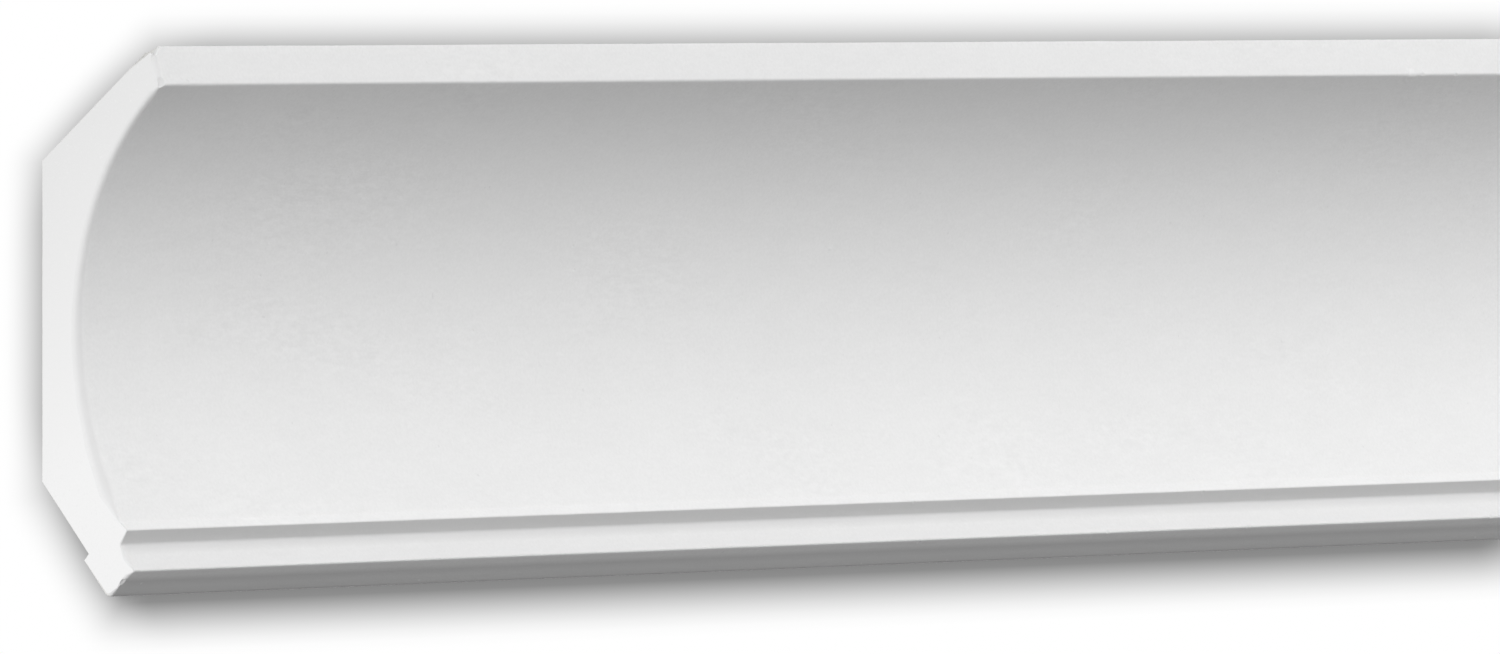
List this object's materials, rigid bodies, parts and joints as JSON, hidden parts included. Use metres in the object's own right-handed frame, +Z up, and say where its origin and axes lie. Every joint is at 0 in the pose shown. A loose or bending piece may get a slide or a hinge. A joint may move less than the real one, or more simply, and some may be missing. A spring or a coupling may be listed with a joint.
{
  "type": "crown moulding length",
  "caption": "Straight square-cut length of cove crown moulding: lip, wide hollow cove, stepped nose and fascia, with flats that are glued to the ceiling and the wall.",
  "frame": {"origin": "middle of the face that is glued to the ceiling, at mid length", "axes": "+X along the moulding, +Y into the wall, +Z up into the ceiling; the cove faces -Y and down"},
  "size_m": [1, 0.0989, 0.1],
  "materials": {
    "primed_foam": "matt white primer over rigid foam"
  },
  "bodies": {
    "root": {"cove_crown_moulding": "primed_foam"}
  },
  "joints": []
}
